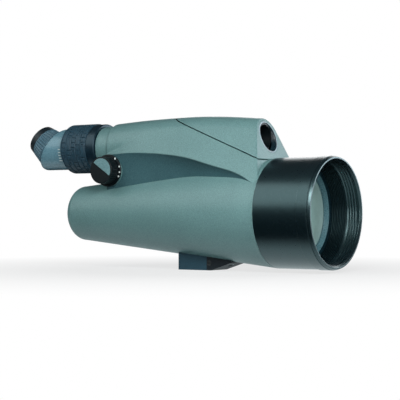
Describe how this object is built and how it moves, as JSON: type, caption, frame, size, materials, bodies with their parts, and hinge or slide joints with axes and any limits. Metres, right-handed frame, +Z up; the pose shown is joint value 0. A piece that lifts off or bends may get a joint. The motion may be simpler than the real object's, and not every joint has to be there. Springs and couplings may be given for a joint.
{
  "type": "spotting scope",
  "caption": "Angled spotting scope with a large main objective in a deep hood, a small wide-field objective above it, a zoom ring, side knobs and a tripod foot",
  "frame": {"origin": "Mouth of the tripod socket, in the middle of the foot's bottom face", "axes": "+X forward along the main objective, +Y to the left, +Z up; Y = 0 is the plane of symmetry"},
  "size_m": [0.4243, 0.1232, 0.175],
  "materials": {
    "body": "fine crinkle, grey green",
    "hood": "satin blue black",
    "rubber": "moulded ribs",
    "black_plastic": "satin",
    "black_inner": "flat black",
    "cell_metal": "black anodised",
    "lens_glass": "coated, polished",
    "mirror": "front silvered",
    "steel": "turned",
    "brass": "turned",
    "scale_plate": "satin",
    "foot_plastic": "fine grain"
  },
  "bodies": {
    "scope_body": {"upper_housing": "body", "top_cover": "body", "barrel": "body", "barrel_end_cap": "body", "front_baffle": "black_inner", "rear_baffle": "black_inner", "sun_hood": "hood", "hood_rim_ring": "hood", "objective_cell": "cell_metal", "crown_lens": "lens_glass", "flint_lens": "lens_glass", "lens_spacer": "cell_metal", "objective_retainer": "cell_metal", "rear_mirror": "mirror", "rear_mirror_cell": "cell_metal", "mirror_cell_screws": "steel", "selector_scale": "scale_plate", "focus_rails": "steel", "rail_bracket": "cell_metal", "flip_bracket": "cell_metal", "small_objective_cell": "black_inner", "small_objective_lens": "lens_glass", "small_objective_retainer": "cell_metal", "small_objective_trim": "black_inner", "guide_tube": "cell_metal", "neck_collar": "body", "eyepiece_head": "body", "tripod_foot": "foot_plastic", "tripod_bush": "brass", "foot_screws": "steel"},
    "selector": {"selector_knob": "black_plastic", "selector_inlay": "body", "selector_shaft": "steel"},
    "flip_mirror_unit": {"flip_frame": "cell_metal", "flip_mirror": "mirror"},
    "link": {"link_rod": "steel"},
    "focus_control": {"focus_knob": "black_plastic", "focus_shaft": "brass"},
    "focus_unit": {"focus_carriage": "cell_metal", "focus_lens": "lens_glass"},
    "zoom_control": {"zoom_ring": "hood", "zoom_grip": "rubber", "cam_sleeve": "brass"},
    "front_zoom_unit": {"front_zoom_cell": "cell_metal", "front_zoom_lens": "lens_glass"},
    "rear_zoom_unit": {"rear_zoom_cell": "cell_metal", "rear_zoom_lens": "lens_glass"},
    "dioptre_control": {"dioptre_ring": "rubber", "eyecup": "rubber"},
    "eyepiece_unit": {"eyepiece_carrier": "cell_metal", "field_lens": "lens_glass", "eyepiece_spacer": "cell_metal", "eye_lens": "lens_glass"}
  },
  "joints": [
    {"name": "selector_turn", "type": "hinge", "parent": "scope_body", "child": "selector", "pos_m": [-0.121, 0, 0.1145], "axis": [0, 1, 0], "range_deg": [0, 90]},
    {"name": "flip_mirror_swing", "type": "hinge", "parent": "scope_body", "child": "flip_mirror_unit", "pos_m": [-0.0255, 0, 0.12608], "axis": [0, 1, 0], "range_deg": [0, 90]},
    {"name": "link_swing", "type": "hinge", "parent": "selector", "child": "link", "pos_m": [-0.11202, 0, 0.11387], "axis": [0, 1, 0], "range_deg": [-90, 0]},
    {"name": "focus_turn", "type": "hinge", "parent": "scope_body", "child": "focus_control", "pos_m": [-0.088, 0, 0.1145], "axis": [0, 1, 0], "range_deg": [0, 95.49]},
    {"name": "focus_slide", "type": "slide", "parent": "scope_body", "child": "focus_unit", "axis": [1, 0, 0], "range_m": [0, 0.01]},
    {"name": "zoom_turn", "type": "hinge", "parent": "scope_body", "child": "zoom_control", "pos_m": [-0.17, 0, 0.1425], "axis": [1, 0, 0], "range_deg": [0, 120]},
    {"name": "front_zoom_slide", "type": "slide", "parent": "scope_body", "child": "front_zoom_unit", "axis": [1, 0, 0], "range_m": [0, 0.008]},
    {"name": "rear_zoom_slide", "type": "slide", "parent": "scope_body", "child": "rear_zoom_unit", "axis": [1, 0, 0], "range_m": [0, 0.014]},
    {"name": "dioptre_turn", "type": "hinge", "parent": "scope_body", "child": "dioptre_control", "pos_m": [-0.227, 0, 0.1415], "axis": [-0.8192, 0, 0.5736], "range_deg": [-60, 60]},
    {"name": "eyepiece_slide", "type": "slide", "parent": "scope_body", "child": "eyepiece_unit", "axis": [-0.8192, 0, 0.5736], "range_m": [-0.0015, 0.0015]}
  ],
  "couplings": [
    {"joint": "flip_mirror_swing", "follows": "selector_turn", "ratio": 1},
    {"joint": "link_swing", "follows": "selector_turn", "ratio": -1},
    {"joint": "focus_slide", "follows": "focus_turn", "m_per_rad": 0.006},
    {"joint": "front_zoom_slide", "follows": "zoom_turn", "m_per_rad": 0.0038197},
    {"joint": "rear_zoom_slide", "follows": "zoom_turn", "m_per_rad": 0.0066845},
    {"joint": "eyepiece_slide", "follows": "dioptre_turn", "m_per_rad": 0.0014324}
  ]
}
